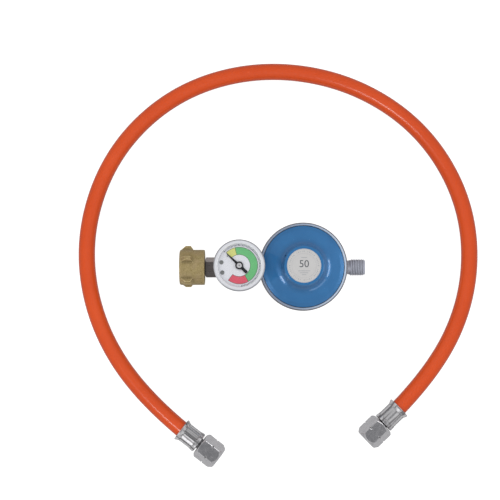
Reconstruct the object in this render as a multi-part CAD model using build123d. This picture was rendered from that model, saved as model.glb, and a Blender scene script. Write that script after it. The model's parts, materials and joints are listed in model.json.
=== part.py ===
from build123d import *
import math
import os

# Low-pressure propane regulator with a pressure gauge, an inlet nut for a small gas bottle and a loose
# hose with two swivel nuts. Millimetres. The origin is the centre of the housing's foot, on the axis of
# the diaphragm. +X points out of the outlet, +Z points up to the label, and z = 0 is the surface.

os.makedirs("parts", exist_ok=True)

# ---------------------------------------------------------------- driving dimensions
port_height = 17.5             # height of the gas line above the surface
outlet_thread_radius = 13.157 / 2   # G 1/4 left-hand, over the crests
inlet_thread_core = 9.85       # core radius of the W 21.8 left-hand nut
union_thread_core = 5.72       # core radius of the G 1/4 left-hand nut

# housing and lid
rim_radius = 35.1
rim_top = 31.6
lip_inner_radius = 32.7
lip_underside = 30.2
seat_radius = 33.9             # pocket that holds the diaphragm's edge and the lid's flange
seat_height = 26.0
cavity_radius = 28.0
cavity_floor = 8.0
foot_radius = 13.5
lid_flange_bottom = 27.5
lid_radius = 32.4              # of the painted part inside the rim's lip
plateau_radius = 15.4
plateau_top = 45.9
label_radius = 13.4
label_thickness = 0.4
plug_radius = 12.0
plug_bottom = 40.5
plug_top = 44.5
vent_angle = 151.4             # breather hole in the flank, from +X towards +Y
vent_slope = 40.6              # of the hole's axis, from upright

# gas line
passage_radius = 3.5
boss_radius = 8.5
boss_reach = 34.2              # outlet boss, from the diaphragm's axis
outlet_neck_radius = 5.5
outlet_neck_end = 37.2
outlet_end = 49.8
inlet_boss_end = -36.0
spigot_end = -29.0
nozzle_boss_end = -20.0
nozzle_tip = -14.5

# valve lever, drawn shut and then turned open
lever_pivot_x = -11.0
lever_pivot_z = 13.0
lever_arm = 11.0               # from the pivot to the stem
lever_swing = math.degrees(2.8 / lever_arm)
lever_pin_radius = 1.0
lever_pin_play = 0.06
stem_slot_height = 2.2

# diaphragm stack
membrane_bottom = 23.0
membrane_thickness = 0.8
plate_thickness = 1.2
stem_radius = 3.0
spring_mean_radius = 9.1
spring_wire = 1.8
spring_turns = 4.5

# inlet side
nut_mouth = -98.9
nut_back = -78.7
nut_radius = 14.15
lug_radius = 17.3
lug_count = 5
lug_turn = -24.0               # of the first lug, from upright
nut_thread_length = 8.0
nut_rear_wall = 5.8
hex_start = -78.2
hex_flats = 14.0
nipple_end = -67.3             # how far the nipple's tail goes into the hexagon bar
nipple_tail_radius = 5.0
inlet_bore = 3.0
collar_back = nut_back - nut_rear_wall - 0.3
collar_front = collar_back - 3.2

# gauge
gauge_x = -50.8
tee_port_top = 26.0
gauge_seal_top = 27.0
gauge_thread_radius = 9.728 / 2
gauge_thread_bottom = 20.4
case_radius = 19.25
case_bottom = 33.5
case_top = 50.5
case_wall = 1.0
bezel_radius = 20.3
bezel_inner_radius = 17.0
bezel_top = 52.6
dial_radius = 17.9
dial_top = 47.2
needle_bottom = 48.4
needle_reach = 13.7
needle_thickness = 0.4
hub_height = 0.6               # seat of the cap above the needle's underside
needle_angle = 136.5           # at rest, from +X towards +Y
stop_pin_radius = 0.45
stop_pin_reach = 11.8
stop_pin_angle = needle_angle + 5.2
dial_thickness = 0.6
dial_screw_places = [(-14.0, 2.5), (-13.3, -5.5)]
dial_screw_radius = 0.9

# gauge movement
gear_module = 0.25
pinion_teeth = 12
sector_teeth = 80              # on the whole circle; only an arc of them is cut
sector_pivot_y = -gear_module * (pinion_teeth + sector_teeth) / 2 - 0.03
plate_low = 37.0
plate_high = 43.0
movement_plate = 0.8
pillar_places = [(-7.0, 4.0), (7.0, 4.0), (4.6, -10.6)]
arbor_radius = 0.6
arbor_play = 0.05
pinion_bottom = 39.0
pinion_height = 2.2
sector_bottom = 39.6
sector_thickness = 1.0
link_bottom = 40.9
link_thickness = 0.5
link_swing_radius = 4.3
link_swing_angle = 80.2        # of the link's rivet about the sector's shaft, at rest
rivet_radius = 0.45
tube_radius = 15.2
tube_width = 4.6
tube_thickness = 1.6
tube_middle = 38.4             # height of the tube's middle
tube_root_angle = 143.0
tube_tip_angle = 222.0

# hose
hose_radius = 6.65
hose_bore = 3.15
fitting_height = 9.5           # half the union nut across flats
ferrule_length = 18.2
ferrule_depth = 16.5
neck_radius = 4.5
union_flats = 19.0
union_length = 18.8
union_thread_length = 9.2

# Hose fittings: mouth of the ferrule, direction of the axis in degrees, and how far
# from the mouth the loose union nut lies.
fittings = {
    "a": {"mouth": (-97.8, -130.05), "heading": -37.5, "nut_at": 19.4},
    "b": {"mouth": (77.9, -112.65), "heading": 223.8, "nut_at": 18.8},
}


# ---------------------------------------------------------------- helpers
def outline(corners):
    """Closed face from (u, v) or (u, v, corner radius) corners."""
    points = [corner[:2] for corner in corners]
    radii = [corner[2] if len(corner) > 2 else 0 for corner in corners]
    return make_face(FilletPolyline(*points, radius=radii, close=True))


def turned(corners):
    """Solid turned about the Z axis from (radius, height) corners."""
    return revolve(Plane.XZ * outline(corners), Axis.Z)


def turned_along(corners):
    """Solid turned about the X axis from (x, radius) corners."""
    return revolve(outline(corners), Axis.X)


def rod_z(radius, bottom, top, x=0.0, y=0.0):
    return Pos(x, y, bottom) * Cylinder(radius, top - bottom, align=(Align.CENTER, Align.CENTER, Align.MIN))


def rod_x(radius, start, end):
    """Cylinder along the gas line's axis."""
    return Pos(start, 0, port_height) * Rot(0, 90, 0) * Cylinder(
        radius, end - start, align=(Align.CENTER, Align.CENTER, Align.MIN))


def at_angle(radius, degrees):
    """Point on a circle about the Z axis."""
    angle = math.radians(degrees)
    return radius * math.cos(angle), radius * math.sin(angle)


def box_between(low, high):
    middle = [(a + b) / 2 for a, b in zip(low, high)]
    size = [b - a for a, b in zip(low, high)]
    return Pos(*middle) * Box(*size)


def hex_bar(flats, start, end):
    """Hexagonal bar along X on the gas line, with one flat facing up."""
    section = Plane.YZ * RegularPolygon(flats / 2, 6, major_radius=False, rotation=0)
    bar = extrude(section, end - start)
    return Pos(start, 0, port_height) * bar


def save(node, shape):
    shape.label = node
    export_step(shape, f"parts/{node}.step")


# ---------------------------------------------------------------- regulator housing
def housing_body():
    """Cast bowl with a rolled rim, inlet and outlet bosses and the lever's two ears."""
    bowl = turned([
        (0, 0), (foot_radius, 0, 0.8), (foot_radius, 4.6, 1.2), (26.0, 5.0, 6.0), (32.6, 14.0, 8.0),
        (33.2, 24.8, 0.8), (rim_radius, 25.8, 0.6), (rim_radius, rim_top, 1.2),
        (lip_inner_radius, rim_top, 0.5), (lip_inner_radius, lip_underside),
        (seat_radius, lip_underside), (seat_radius, seat_height), (cavity_radius, seat_height, 0.5),
        (cavity_radius, cavity_floor, 6.0), (0, cavity_floor),
    ])
    outlet = Pos(0, 0, port_height) * turned_along([
        (cavity_radius + 0.5, 0), (cavity_radius + 0.5, boss_radius), (boss_reach, boss_radius, 0.5),
        (boss_reach, outlet_neck_radius), (outlet_neck_end, outlet_neck_radius),
        (outlet_neck_end, outlet_thread_radius), (outlet_end - 0.7, outlet_thread_radius),
        (outlet_end, outlet_thread_radius - 0.7), (outlet_end, 0),
    ])
    inlet = Pos(0, 0, port_height) * turned_along([
        (inlet_boss_end, 0), (inlet_boss_end, boss_radius, 0.5), (-cavity_radius - 0.5, boss_radius),
        (-cavity_radius - 0.5, 5.0), (nozzle_boss_end, 5.0, 0.6), (nozzle_boss_end, 0),
    ])
    body = bowl + outlet + inlet
    ear = box_between((lever_pivot_x - 2.2, 3.3, cavity_floor - 0.5),
                      (lever_pivot_x + 2.2, 6.3, lever_pivot_z))
    ear += Pos(lever_pivot_x, 4.8, lever_pivot_z) * Rot(90, 0, 0) * Cylinder(2.2, 3.0)
    body += ear + mirror(ear, Plane.XZ)
    # bores: outlet passage with its sealing cone, inlet thread, nozzle seat, lever pin
    body -= Pos(0, 0, port_height) * turned_along([
        (20.0, 0), (20.0, passage_radius), (outlet_end - 2.6, passage_radius), (outlet_end, 5.0),
        (outlet_end + 1.0, 5.0), (outlet_end + 1.0, 0),
    ])
    body -= rod_x(outlet_thread_radius, inlet_boss_end - 1.0, spigot_end)
    body -= rod_x(passage_radius, spigot_end - 1.0, nozzle_boss_end + 1.0)
    body -= Pos(lever_pivot_x, 0, lever_pivot_z) * Rot(90, 0, 0) * Cylinder(lever_pin_radius, 20)
    return body


def housing_lid():
    """Painted cast lid: flat flange, domed flank, raised centre with a threaded hole for the plug."""
    lid = turned([
        (seat_radius, lid_flange_bottom), (seat_radius, lip_underside), (lid_radius, lip_underside),
        (lid_radius, 31.5, 0.6), (29.3, 33.7, 2.2), (19.2, 38.2, 12.0), (plateau_radius, plateau_top, 1.0),
        (label_radius, plateau_top), (label_radius, plateau_top - label_thickness),
        (plug_radius, plateau_top - label_thickness), (plug_radius, 36.0, 0.8), (18.2, 36.0, 2.0),
        (cavity_radius, 31.4, 1.5), (cavity_radius, lid_flange_bottom),
    ])
    vent = Rot(0, 0, vent_angle) * Pos(14.2, 0, 41.0) * Rot(0, vent_slope, 0) * Cylinder(0.8, 12.0)
    return lid - vent


def label_disc():
    return rod_z(label_radius, plateau_top - label_thickness, plateau_top)


def adjusting_plug():
    """Threaded plug that sets the spring, with a hexagon socket under the label."""
    plug = turned([
        (0, plug_bottom - 2.0), (7.8, plug_bottom - 2.0, 0.5), (7.8, plug_bottom),
        (plug_radius, plug_bottom), (plug_radius, plug_top, 0.4), (0, plug_top),
    ])
    socket = extrude(Plane.XY.offset(plug_top - 3.0) * RegularPolygon(4.0, 6, major_radius=False), 4.0)
    return plug - socket


def main_spring():
    """Compression spring between the diaphragm's plate and the plug."""
    low = membrane_bottom + membrane_thickness + plate_thickness
    height = plug_bottom - low - spring_wire
    path = Helix(pitch=height / spring_turns, height=height, radius=spring_mean_radius)
    section = Plane(origin=path @ 0, z_dir=path % 0) * Circle(spring_wire / 2)
    return Pos(0, 0, low + spring_wire / 2) * sweep(section, path=path, is_frenet=True)


# ---------------------------------------------------------------- diaphragm and valve
def diaphragm():
    """Rubber disc with a clamped edge and one raised fold, drawn at the bottom of its travel."""
    low = membrane_bottom
    high = membrane_bottom + membrane_thickness
    return turned([
        (stem_radius, low), (20.9, low, 0.6), (22.2, 26.9, 1.2), (26.0, 26.9, 0.6),
        (26.6, seat_height, 0.3), (seat_radius, seat_height), (seat_radius, lid_flange_bottom),
        (27.6, lid_flange_bottom, 0.3), (26.6, 27.7, 0.8), (21.5, 27.7, 1.6), (20.2, high, 0.4),
        (stem_radius, high),
    ])


def diaphragm_plate():
    """Pressed cup on top of the diaphragm, which carries the spring."""
    low = membrane_bottom + membrane_thickness
    high = low + plate_thickness
    return turned([
        (stem_radius, low), (19.6, low, 0.8), (19.6, high + 2.2, 0.4), (18.6, high + 2.2, 0.4),
        (18.6, high, 0.8), (stem_radius, high),
    ])


def diaphragm_stem():
    """Flanged stem: a cross slot at the bottom holds the tip of the lever."""
    tip_low = lever_pivot_z - 1.4
    slot_low = tip_low - stem_slot_height / 2
    top = membrane_bottom + membrane_thickness + plate_thickness + 3.0
    stem = turned([
        (0, slot_low - 1.5), (stem_radius, slot_low - 1.5, 0.5), (stem_radius, membrane_bottom - 1.2),
        (9.0, membrane_bottom - 1.2, 0.4), (9.0, membrane_bottom), (stem_radius, membrane_bottom),
        (stem_radius, top, 0.4), (0, top),
    ])
    slot = box_between((-5, -1.9, slot_low), (5, 1.9, slot_low + stem_slot_height))
    return stem - slot


def stem_nut():
    low = membrane_bottom + membrane_thickness + plate_thickness
    body = extrude(Plane.XY.offset(low) * RegularPolygon(4.0, 6, major_radius=False), 2.4)
    return body - rod_z(stem_radius, low - 1, low + 4)


def turned_open(shape):
    """Turn a piece of the lever from shut, where it is drawn, to open, where it rests."""
    return shape.rotate(Axis((lever_pivot_x, 0, lever_pivot_z), (0, 1, 0)), lever_swing)


def lever():
    """Bell-crank: the long arm follows the stem and the short arm carries the valve pad."""
    half = lever_swing / 2
    hub = Rot(90, 0, 0) * Cylinder(2.0, 6.0)
    short_arm = extrude(Plane.YZ * outline([(-3.0, 0), (-3.0, 7.6, 2.4), (3.0, 7.6, 2.4), (3.0, 0)]), 0.7,
                        both=True)
    long_arm = extrude(outline([(0, -3.0), (lever_arm - 3.5, -1.5, 2.0), (lever_arm, -1.5),
                                (lever_arm, 1.5), (lever_arm - 3.5, 1.5, 2.0), (0, 3.0)]), 0.6, both=True)
    tip = Pos(lever_arm, 0, 0) * Rot(90, 0, 0) * Cylinder(0.85, 3.0)
    arms = hub + short_arm + Rot(0, -half, 0) * (long_arm + tip)
    arms -= Rot(90, 0, 0) * Cylinder(lever_pin_radius + lever_pin_play, 20)
    arms -= Pos(0, 0, port_height - lever_pivot_z) * Rot(0, 90, 0) * Cylinder(1.0, 10)
    return turned_open(Pos(lever_pivot_x, 0, lever_pivot_z) * arms)


def valve_pad():
    """Rubber pad with a stud pressed through the lever's short arm."""
    face = nozzle_tip - lever_pivot_x + 0.08
    pad = turned_along([
        (face, 0), (face, 2.4, 0.3), (-0.7, 2.4, 0.3), (-0.7, 1.0), (0.7, 1.0), (0.7, 1.5, 0.2),
        (1.6, 1.5, 0.5), (1.6, 0),
    ])
    return turned_open(Pos(lever_pivot_x, 0, port_height) * pad)


def lever_pin():
    return Pos(lever_pivot_x, 0, lever_pivot_z) * Rot(90, 0, 0) * Cylinder(lever_pin_radius, 12.6)


def inlet_orifice():
    """Brass nozzle that the pad shuts."""
    nozzle = turned_along([
        (spigot_end, 2.0), (spigot_end, passage_radius), (nozzle_tip - 2.5, passage_radius, 0.4),
        (nozzle_tip, 1.7), (nozzle_tip, 0.9), (nozzle_tip - 5.5, 0.9), (nozzle_tip - 6.5, 2.0),
    ])
    return Pos(0, 0, port_height) * nozzle


# ---------------------------------------------------------------- inlet side
def wing_nut():
    """Cast brass nut for the bottle valve, with grip lugs on its front half."""
    length = nut_back - nut_mouth
    thread_start = nut_mouth + 1.0
    thread_end = thread_start + nut_thread_length
    barrel = turned_along([
        (nut_mouth, inlet_thread_core + 1.0), (nut_mouth, nut_radius, 1.4), (nut_back, nut_radius, 0.8),
        (nut_back, 6.3), (nut_back - nut_rear_wall, 6.3), (nut_back - nut_rear_wall, 11.0),
        (thread_end, 11.0), (thread_end, inlet_thread_core), (thread_start, inlet_thread_core),
    ])
    base_start, base_end = nut_mouth + 1.1, nut_mouth + 11.0
    lug_profile = outline([
        (base_start, nut_radius - 1.0), (base_start, nut_radius - 0.2), (base_start + 3.6, lug_radius, 1.2),
        (base_end - 2.1, lug_radius, 0.8), (base_end, nut_radius - 0.2), (base_end, nut_radius - 1.0),
    ])
    side = Plane.XZ * lug_profile
    plain_lug = extrude(side, 4.0, both=True)
    taper = extrude(Plane.YZ.offset(base_start - 1) * outline([
        (-2.5, nut_radius - 2.0), (-2.3, nut_radius - 0.2, 0.6), (-1.4, lug_radius + 0.2, 0.5),
        (1.4, lug_radius + 0.2, 0.5), (2.3, nut_radius - 0.2, 0.6), (2.5, nut_radius - 2.0)]), 12.0)
    lug = plain_lug & taper
    nut = barrel
    for step in range(lug_count):
        nut += Rot(lug_turn + 360 / lug_count * step, 0, 0) * lug
    return Pos(0, 0, port_height) * nut


def inlet_nipple():
    """Swivel nipple: its collar is pulled against the bottle valve by the nut."""
    nipple = turned_along([
        (collar_front, inlet_bore), (collar_front, 9.3, 0.3), (collar_back, 9.3, 0.4),
        (collar_back, 6.0), (hex_start, 6.0), (hex_start, nipple_tail_radius),
        (nipple_end, nipple_tail_radius, 0.4), (nipple_end, inlet_bore),
    ])
    return Pos(0, 0, port_height) * nipple


def inlet_seal():
    seal = turned_along([
        (collar_front - 1.8, 4.0, 0.3), (collar_front - 1.8, 9.0, 0.4), (collar_front, 9.0),
        (collar_front, 4.0),
    ])
    return Pos(0, 0, port_height) * seal


def inlet_filter():
    """Sintered cup in the nipple's bore."""
    start = collar_front + 0.5
    cup = turned_along([(start, 2.2), (start, inlet_bore), (start + 8.0, inlet_bore, 0.8), (start + 8.0, 0),
                        (start + 7.0, 0), (start + 7.0, 2.2)])
    return Pos(0, 0, port_height) * cup


def gauge_tee():
    """Hexagon bar with a port for the gauge on top and a spigot into the housing."""
    bar = hex_bar(hex_flats, hex_start, inlet_boss_end)
    ends = turned_along([
        (hex_start, 0), (hex_start, hex_flats / 2), (hex_start + 0.9, hex_flats / 2 + 1.5),
        (inlet_boss_end - 0.9, hex_flats / 2 + 1.5), (inlet_boss_end, hex_flats / 2),
        (inlet_boss_end, 0),
    ])
    tee = bar & (Pos(0, 0, port_height) * ends)
    tee += rod_z(7.0, port_height, tee_port_top, gauge_x)
    tee += rod_x(outlet_thread_radius, inlet_boss_end, spigot_end)
    tee -= rod_x(nipple_tail_radius, hex_start - 1, nipple_end)
    tee -= rod_x(inlet_bore, nipple_end - 1, spigot_end + 1)
    tee -= rod_z(gauge_thread_radius, gauge_thread_bottom, tee_port_top + 1, gauge_x)
    tee -= rod_z(1.5, port_height, 21.0, gauge_x)
    return tee


# ---------------------------------------------------------------- gauge
def at_gauge(shape):
    return Pos(gauge_x, 0, 0) * shape


def gauge_socket():
    """Wrench hexagon with a threaded tail, and inside the case the block that feeds the tube."""
    section = RegularPolygon(7.0, 6, major_radius=False, rotation=0)
    hexagon = extrude(Plane.XY.offset(gauge_seal_top) * section, case_bottom - gauge_seal_top)
    tail = rod_z(gauge_thread_radius, gauge_thread_bottom, gauge_seal_top)
    neck = rod_z(5.5, case_bottom, case_bottom + 1.2)
    block = rod_z(6.0, case_bottom + 1.2, plate_low)
    holder_low = tube_middle - tube_width / 2 - 0.1
    arm = box_between((4.0, -2.4, case_bottom + 1.2), (16.4, 2.4, holder_low))
    arm = Rot(0, 0, tube_root_angle + 4) * arm
    holder = arc_block(tube_radius - tube_thickness, tube_radius + tube_thickness,
                       holder_low, holder_low + tube_width + 0.2, tube_root_angle, tube_root_angle + 9.0)
    socket = hexagon + tail + neck + block + arm + holder
    return at_gauge(socket - rod_z(1.2, 20.0, 34.0))


def gauge_seal():
    ring = rod_z(6.4, tee_port_top, gauge_seal_top)
    return at_gauge(ring - rod_z(gauge_thread_radius, tee_port_top - 1, gauge_seal_top + 1))


def gauge_case():
    """Pressed cup with two posts for the dial's screws and a ledge under the dial's edge."""
    cup = turned([
        (5.5, case_bottom), (case_radius, case_bottom, 1.6), (case_radius, case_top),
        (case_radius - case_wall, case_top), (case_radius - case_wall, dial_top - dial_thickness),
        (case_radius - 2.2, dial_top - dial_thickness), (case_radius - 2.2, dial_top - 1.6),
        (case_radius - case_wall, dial_top - 2.8), (case_radius - case_wall, case_bottom + 1.2, 0.8),
        (5.5, case_bottom + 1.2),
    ])
    for x, y in dial_screw_places:
        cup += rod_z(1.8, case_bottom + 1.0, dial_top - dial_thickness, x, y)
        cup -= rod_z(dial_screw_radius, 42.0, dial_top, x, y)
    return at_gauge(cup)


def gauge_bezel():
    return at_gauge(turned([
        (case_radius, 47.4), (bezel_radius, 47.4, 0.3), (bezel_radius, bezel_top, 1.8),
        (bezel_inner_radius, bezel_top, 0.8), (bezel_inner_radius, case_top + 1.2),
        (case_radius, case_top + 1.2),
    ]))


def gauge_lens():
    return at_gauge(rod_z(case_radius - 0.05, case_top, case_top + 1.2))


def gauge_dial():
    dial = rod_z(dial_radius, dial_top - dial_thickness, dial_top) - rod_z(1.6, dial_top - 2, dial_top + 1)
    for x, y in dial_screw_places:
        dial -= rod_z(dial_screw_radius, dial_top - 2, dial_top + 1, x, y)
    dial -= rod_z(stop_pin_radius, dial_top - 2, dial_top + 1, *at_angle(stop_pin_reach, stop_pin_angle))
    return at_gauge(dial)


def dial_screws():
    screw = turned([(0, 43.0), (dial_screw_radius, 43.0, 0.2), (dial_screw_radius, dial_top),
                    (1.65, dial_top), (1.65, dial_top + 0.7, 0.4), (0, dial_top + 0.7)])
    slot = box_between((-2.0, -0.22, dial_top + 0.35), (2.0, 0.22, dial_top + 1.0))
    screw -= Rot(0, 0, 35) * slot
    return Compound([at_gauge(Pos(x, y, 0) * screw) for x, y in dial_screw_places])


def stop_pin():
    """The needle rests beside this pin."""
    return at_gauge(rod_z(stop_pin_radius, dial_top - dial_thickness, needle_bottom + 0.6,
                          *at_angle(stop_pin_reach, stop_pin_angle)))


def gauge_needle():
    """Pointer with a broad tail and a black hub."""
    blade = outline([(0, -1.2), (needle_reach - 0.6, -0.28), (needle_reach, 0), (needle_reach - 0.6, 0.28),
                     (0, 1.2)])
    tail = outline([(-8.2, -1.2, 0.3), (0, -1.2), (0, 1.2), (-8.2, 1.2, 0.3)])
    needle = extrude(Plane.XY.offset(needle_bottom) * (blade + tail), needle_thickness)
    needle += turned([(0, needle_bottom), (3.1, needle_bottom), (3.1, needle_bottom + 1.2, 0.3),
                      (2.0, needle_bottom + 1.2), (2.0, needle_bottom + hub_height),
                      (0, needle_bottom + hub_height)])
    needle -= rod_z(arbor_radius, needle_bottom - 1, needle_bottom + 2)
    return at_gauge(Rot(0, 0, needle_angle) * needle)


def needle_cap():
    low = needle_bottom + hub_height
    return at_gauge(turned([(arbor_radius, low), (2.0, low), (2.0, low + 0.9, 0.35),
                            (arbor_radius, low + 0.9)]))


def toothed(teeth, first, count, inner_radius):
    """Sector face with straight-flanked teeth, the first tooth centred on angle first."""
    pitch_radius = gear_module * teeth / 2
    pitch = 360.0 / teeth
    root = pitch_radius - 1.2 * gear_module
    tip = pitch_radius + 0.9 * gear_module
    points = []
    for index in range(count):
        centre = first + pitch * index
        for radius, offset in ((root, -0.30), (tip, -0.11), (tip, 0.11), (root, 0.30)):
            points.append(at_angle(radius, centre + offset * pitch))
    if count < teeth:
        points.append(at_angle(inner_radius, first + pitch * (count - 0.7)))
        points.append(at_angle(inner_radius, first - 0.3 * pitch))
    return make_face(Polyline(*points, close=True))


def pinion_arbor():
    """Needle shaft with its pinion."""
    low = plate_low + 0.2
    arbor = rod_z(arbor_radius, low, needle_bottom + 1.5)
    pinion = toothed(pinion_teeth, 0, pinion_teeth, 0)
    arbor += extrude(Plane.XY.offset(pinion_bottom) * pinion, pinion_height)
    return at_gauge(arbor)


def sector_gear():
    """Toothed quadrant on its own shaft, with a hole for the link's rivet."""
    pitch = 360.0 / sector_teeth
    first = 90 + pitch / 2 - pitch * 10
    rim = toothed(sector_teeth, first, 12, 7.6)
    web = make_face(Polyline((-1.4, 0), (-1.6, 8.4), (6.6, 5.6), (1.4, -0.6), close=True))
    window = make_face(Polyline((0.3, 5.6), (0.3, 7.2), (4.4, 5.6), (2.0, 3.4), close=True))
    eye = at_angle(link_swing_radius, link_swing_angle)
    blank = extrude((rim + web) - window, sector_thickness)
    blank += rod_z(1.5, 0, sector_thickness) + rod_z(1.0, 0, sector_thickness, *eye)
    blank -= rod_z(rivet_radius + arbor_play, -1.0, sector_thickness + 1.0, *eye)
    shaft = rod_z(arbor_radius, plate_low, plate_high + movement_plate)
    return at_gauge(Pos(0, sector_pivot_y, 0) * (Pos(0, 0, sector_bottom) * blank + shaft))


def movement_plates():
    """Two brass plates on three pillars, which carry both shafts."""
    rounds = [Pos(x, y) * Circle(1.8).edge() for x, y in pillar_places]
    rounds.append(Pos(0, sector_pivot_y) * Circle(1.8).edge())
    rounds.append(Circle(4.0).edge())
    shape = make_hull(rounds)
    movement = extrude(Plane.XY.offset(plate_low) * shape, movement_plate)
    movement += extrude(Plane.XY.offset(plate_high) * shape, movement_plate)
    for x, y in pillar_places:
        movement += rod_z(1.0, plate_low, plate_high, x, y)
    for x, y in ((0, 0), (0, sector_pivot_y)):
        movement -= rod_z(arbor_radius + arbor_play, plate_low - 1, plate_high + 2, x, y)
    return at_gauge(movement)


def arc_block(inner, outer, low, high, start, end):
    """Part of a ring between two angles."""
    ring = rod_z(outer, low, high) - rod_z(inner, low - 1, high + 1)
    rays = [at_angle(2 * outer, start + (end - start) * step / 4) for step in range(5)]
    wedge = make_face(Polyline((0, 0), *rays, close=True))
    return ring & extrude(Plane.XY.offset(low - 1) * wedge, high - low + 2)


def bourdon_tube():
    """Flattened tube bent to an open ring. Pressure uncurls it and its tip pulls the link."""
    wall = 0.35
    section = SlotOverall(tube_width, tube_thickness)
    section -= SlotOverall(tube_width - 2 * wall, tube_thickness - 2 * wall)
    start = Plane(origin=(tube_radius, 0, tube_middle), x_dir=(0, 0, 1), z_dir=(0, -1, 0))
    sweep_angle = 360 - (tube_tip_angle - tube_root_angle)
    ring = revolve(start * section, Axis.Z, -sweep_angle)
    # the shut end and the flat tongue that reaches in to the link
    low, high = tube_middle - tube_width / 2, link_bottom - 0.3
    outer = tube_radius + tube_thickness / 2
    plug = arc_block(tube_radius - tube_thickness / 2, outer, low, high, tube_tip_angle - 3, tube_tip_angle)
    tongue = arc_block(tube_radius - 3.4, outer, high - 0.6, high, tube_tip_angle, tube_tip_angle + 5)
    return at_gauge(Rot(0, 0, tube_root_angle) * ring + plug + tongue)


def bourdon_link():
    """Flat strip from the tube's tip to the sector."""
    eye = at_angle(link_swing_radius, link_swing_angle)
    start = (eye[0], sector_pivot_y + eye[1])
    end = at_angle(tube_radius - 2.0, tube_tip_angle - 1.5)
    top = link_bottom + link_thickness
    strip = make_hull([Pos(*place) * Circle(2 * rivet_radius).edge() for place in (start, end)])
    link = extrude(Plane.XY.offset(link_bottom) * strip, link_thickness)
    link += rod_z(rivet_radius, sector_bottom + 0.1, top, *start) + rod_z(0.8, top, top + 0.4, *start)
    return at_gauge(link)


# ---------------------------------------------------------------- hose
# The route of the hose's centre line: from inside ferrule A, round the loop, into ferrule B.
def fitting_point(end, distance):
    """Point on a fitting's axis, measured from the mouth of its ferrule towards the nut."""
    fitting = fittings[end]
    heading = math.radians(fitting["heading"])
    return (fitting["mouth"][0] + distance * math.cos(heading),
            fitting["mouth"][1] + distance * math.sin(heading), fitting_height)


hose_route = [
    fitting_point("a", ferrule_depth),
    fitting_point("a", -35.9),
    (-167.6, -46.65, hose_radius),
    (-178.9, 24.05, hose_radius),
    (-156.1, 93.85, hose_radius),
    (-104.2, 144.15, hose_radius),
    (-34.6, 164.55, hose_radius),
    (38.9, 153.55, hose_radius),
    (99.7, 113.85, hose_radius),
    (135.3, 50.55, hose_radius),
    (136.5, -21.35, hose_radius),
    fitting_point("b", -37.3),
    fitting_point("b", ferrule_depth),
]


def bend_radii(route):
    """Largest tangent arcs that the two runs at each point leave room for."""
    radii = []
    for before, here, after in zip(route, route[1:], route[2:]):
        run_in = Vector(*here) - Vector(*before)
        run_out = Vector(*after) - Vector(*here)
        half_turn = math.radians(run_in.get_angle(run_out)) / 2
        radii.append(0.45 * min(run_in.length, run_out.length) / math.tan(half_turn))
    return radii


def hose_tube():
    radii = bend_radii(hose_route)
    path = FilletPolyline(*hose_route, radius=radii)
    section = Circle(hose_radius) - Circle(hose_bore)
    tube = sweep(Plane(origin=path @ 0, z_dir=path % 0) * section, path=path)
    expected = math.pi * (hose_radius ** 2 - hose_bore ** 2) * path.length
    print("hose radii:", ", ".join(f"{radius:.0f}" for radius in radii))
    print(f"hose length {path.length:.1f} mm, volume {tube.volume:.0f}, section x length {expected:.0f}")
    return tube


def at_fitting(end, shape):
    """Place a piece drawn along +X from the ferrule's mouth."""
    fitting = fittings[end]
    return Pos(*fitting["mouth"], fitting_height) * Rot(0, 0, fitting["heading"]) * shape


def ferrule():
    """Crimped sleeve: flared mouth, waist with eight crimp flats and ridges between, rounded end rim."""
    waist_radius = 7.95
    end_radius = 8.5
    flat_height = 7.4
    sleeve = turned_along([
        (0, 7.3), (0, 9.3, 0.4), (1.2, 9.3, 0.6), (3.8, waist_radius, 3.0), (13.6, waist_radius, 4.0),
        (16.4, end_radius, 2.0), (ferrule_length, end_radius, 0.9), (ferrule_length, neck_radius),
        (ferrule_depth, neck_radius), (ferrule_depth, hose_radius), (1.2, hose_radius, 0.4),
    ])
    flat = outline([(3.6, -2.3, 1.2), (15.0, -2.3, 1.2), (15.0, 2.3, 1.2), (3.6, 2.3, 1.2)])
    press = extrude(Plane.XY.offset(flat_height) * flat, 2.5, taper=-30)
    for step in range(8):
        sleeve -= Rot(22.5 + 45 * step, 0, 0) * press
    return sleeve


def hose_nipple():
    """Barbed tail in the hose, neck for the loose nut, and the sealing cone."""
    corners = [(1.0, 2.0), (1.0, 2.7), (1.8, hose_bore)]
    for barb in range(4):
        start = 3.2 + 3.2 * barb
        corners += [(start, hose_bore), (start, 2.75), (start + 1.4, hose_bore)]
    corners += [
        (ferrule_depth, hose_bore), (ferrule_depth, neck_radius), (24.9, neck_radius), (24.9, 5.5),
        (25.7, 5.5), (27.4, 4.4), (27.4, 2.0),
    ]
    return turned_along(corners)


def union_nut():
    """Hexagon nut with rounded ends, a turned notch across its corners and a left-hand thread."""
    outside = turned_along([
        (0, 0), (0, 8.6), (0.4, 9.5, 0.5), (2.0, 11.2, 1.6), (union_length - 3.8, 11.2, 3.4),
        (union_length - 0.5, 9.1, 0.6), (union_length, 8.0), (union_length, 0),
    ])
    bar = extrude(Plane.YZ * RegularPolygon(union_flats / 2, 6, major_radius=False, rotation=0),
                  union_length)
    nut = bar & outside
    middle = union_length / 2
    nut -= turned_along([(middle - 0.8, 11.5), (middle - 0.1, 10.15), (middle + 0.1, 10.15),
                         (middle + 0.8, 11.5)])
    thread_start = union_length - 1.0 - union_thread_length
    nut -= turned_along([
        (-1.0, 0), (-1.0, neck_radius + 0.35), (4.6, neck_radius + 0.35), (4.6, 6.9),
        (thread_start, 6.9), (thread_start, union_thread_core), (union_length - 1.0, union_thread_core),
        (union_length, union_thread_core + 1.0), (union_length + 1.0, union_thread_core + 1.0),
        (union_length + 1.0, 0),
    ])
    return nut


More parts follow.
